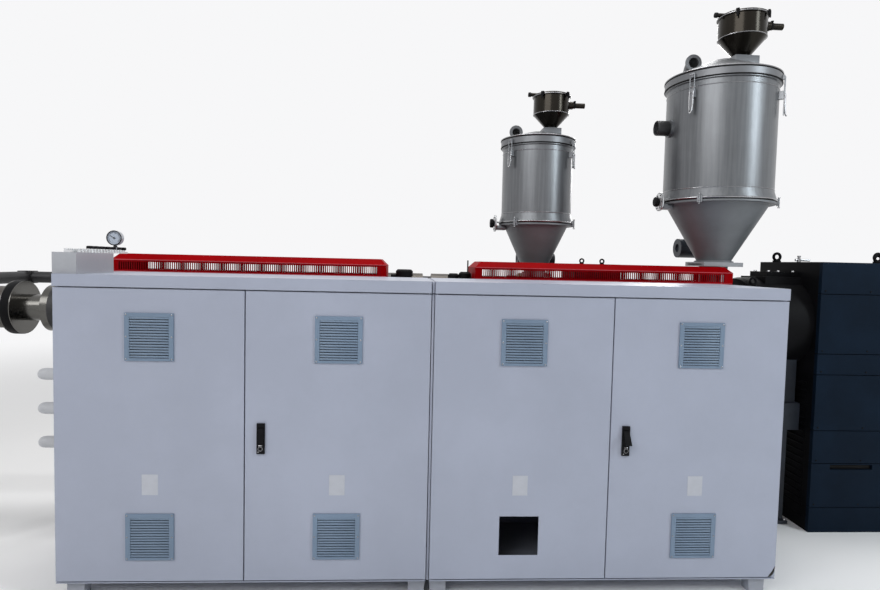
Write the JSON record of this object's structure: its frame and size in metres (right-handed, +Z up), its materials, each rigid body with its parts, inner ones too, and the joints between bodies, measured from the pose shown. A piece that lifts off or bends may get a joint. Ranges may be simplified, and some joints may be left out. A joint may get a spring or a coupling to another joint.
{
  "type": "plastic extruder with two hopper dryers, a co-extruder and electric cabinets",
  "caption": "Plastic extruder line: red-guarded barrel, hopper dryers with vacuum loaders, drive housing, co-extruder and white electric cabinets with louvred doors.",
  "frame": {"origin": "on the floor, at the middle of the line's footprint", "axes": "+X along the line from the die to the drive, +Y from the cabinet doors to the co-extruder, +Z up"},
  "size_m": [5.761, 1.7784, 3.019],
  "materials": {
    "cabinet_left_shell": "satin white-grey paint",
    "cabinet_right_shell": "satin white-grey paint",
    "cabinet_feet": "satin white-grey paint",
    "mounting_plates": "zinc-plated plate",
    "door_1": "satin white-grey paint",
    "door_2": "satin white-grey paint",
    "door_3": "satin white-grey paint",
    "door_4": "satin white-grey paint",
    "door_1_vents": "grey-blue vents",
    "door_2_vents": "grey-blue vents",
    "door_3_vent": "grey-blue vents",
    "door_4_vents": "grey-blue vents",
    "left_lock_plate": "black lock",
    "right_lock_plate": "black lock",
    "left_lock_lever": "black lock",
    "right_lock_lever": "black lock",
    "top_trunking": "satin white-grey paint",
    "air_manifold": "polished steel",
    "valve_knobs": "black lock",
    "pressure_gauge": "white plastic",
    "plug_sockets": "blue plastic",
    "plug_connectors": "white plastic",
    "base_frame": "dark grey paint",
    "machine_legs": "dark grey paint",
    "guard_posts": "dark grey paint",
    "barrel_supports": "dark grey paint",
    "barrel": "dark iron",
    "heater_bands": "brushed stainless",
    "die_head": "polished steel",
    "left_guard": "deep red paint",
    "right_guard": "deep red paint",
    "guard_grilles": "deep red paint",
    "port_caps": "black lock",
    "feed_throats": "dark iron",
    "gearbox": "black paint",
    "drive_housing": "black paint",
    "drive_panels": "navy paint",
    "large_slide_gate": "zinc-plated plate",
    "small_slide_gate": "zinc-plated plate",
    "large_drum": "brushed stainless",
    "large_cone": "matte grey steel",
    "large_lid": "brushed stainless",
    "small_drum": "brushed stainless",
    "small_cone": "matte grey steel",
    "small_lid": "brushed stainless",
    "cone_outlets": "matte grey steel",
    "toggle_latches": "polished steel",
    "dryer_blowers": "dark grey paint",
    "large_loader": "polished steel",
    "small_loader": "polished steel",
    "loader_lids": "polished steel",
    "loader_clamps": "black paint",
    "coextruder_frame": "dark grey paint",
    "coextruder_barrel": "dark iron",
    "coextruder_drive": "black paint"
  },
  "bodies": {
    "extruder": {"cabinet_left_shell": "cabinet_left_shell", "cabinet_right_shell": "cabinet_right_shell", "cabinet_feet": "cabinet_feet", "mounting_plates": "mounting_plates", "top_trunking": "top_trunking", "air_manifold": "air_manifold", "valve_knobs": "valve_knobs", "pressure_gauge": "pressure_gauge", "plug_sockets": "plug_sockets", "plug_connectors": "plug_connectors", "base_frame": "base_frame", "machine_legs": "machine_legs", "guard_posts": "guard_posts", "barrel_supports": "barrel_supports", "barrel": "barrel", "heater_bands": "heater_bands", "die_head": "die_head", "left_guard": "left_guard", "right_guard": "right_guard", "guard_grilles": "guard_grilles", "port_caps": "port_caps", "feed_throats": "feed_throats", "gearbox": "gearbox", "drive_housing": "drive_housing", "drive_panels": "drive_panels", "large_drum": "large_drum", "large_cone": "large_cone", "large_lid": "large_lid", "small_drum": "small_drum", "small_cone": "small_cone", "small_lid": "small_lid", "cone_outlets": "cone_outlets", "toggle_latches": "toggle_latches", "dryer_blowers": "dryer_blowers", "large_loader": "large_loader", "small_loader": "small_loader", "loader_lids": "loader_lids", "loader_clamps": "loader_clamps", "coextruder_frame": "coextruder_frame", "coextruder_barrel": "coextruder_barrel", "coextruder_drive": "coextruder_drive"},
    "door_1": {"door_1": "door_1", "door_1_vents": "door_1_vents"},
    "door_2": {"door_2": "door_2", "door_2_vents": "door_2_vents", "left_lock_plate": "left_lock_plate"},
    "door_3": {"door_3": "door_3", "door_3_vent": "door_3_vent"},
    "door_4": {"door_4": "door_4", "door_4_vents": "door_4_vents", "right_lock_plate": "right_lock_plate"},
    "left_lever": {"left_lock_lever": "left_lock_lever"},
    "right_lever": {"right_lock_lever": "right_lock_lever"},
    "large_gate": {"large_slide_gate": "large_slide_gate"},
    "small_gate": {"small_slide_gate": "small_slide_gate"}
  },
  "joints": [
    {"name": "door_1_hinge", "type": "hinge", "parent": "extruder", "child": "door_1", "pos_m": [-1.7695, -0.8318, 0.089], "axis": [0, 0, -1], "range_deg": [0, 110]},
    {"name": "door_2_hinge", "type": "hinge", "parent": "extruder", "child": "door_2", "pos_m": [-0.1975, -0.8318, 0.089], "axis": [0, 0, 1], "range_deg": [0, 85]},
    {"name": "door_3_hinge", "type": "hinge", "parent": "extruder", "child": "door_3", "pos_m": [-0.1615, -0.8318, 0.089], "axis": [0, 0, -1], "range_deg": [0, 85]},
    {"name": "door_4_hinge", "type": "hinge", "parent": "extruder", "child": "door_4", "pos_m": [1.4105, -0.8318, 0.089], "axis": [0, 0, 1], "range_deg": [0, 110]},
    {"name": "left_lever_hinge", "type": "hinge", "parent": "door_2", "child": "left_lever", "pos_m": [-0.913, -0.8453, 0.7625], "axis": [-1, 0, 0], "range_deg": [0, 40]},
    {"name": "right_lever_hinge", "type": "hinge", "parent": "door_4", "child": "right_lever", "pos_m": [0.695, -0.8453, 0.7625], "axis": [-1, 0, 0], "range_deg": [-37, 3]},
    {"name": "large_gate_slide", "type": "slide", "parent": "extruder", "child": "large_gate", "axis": [1, 0, 0], "range_m": [0, 0.14]},
    {"name": "small_gate_slide", "type": "slide", "parent": "extruder", "child": "small_gate", "axis": [-1, 0, 0], "range_m": [0, 0.115]}
  ]
}
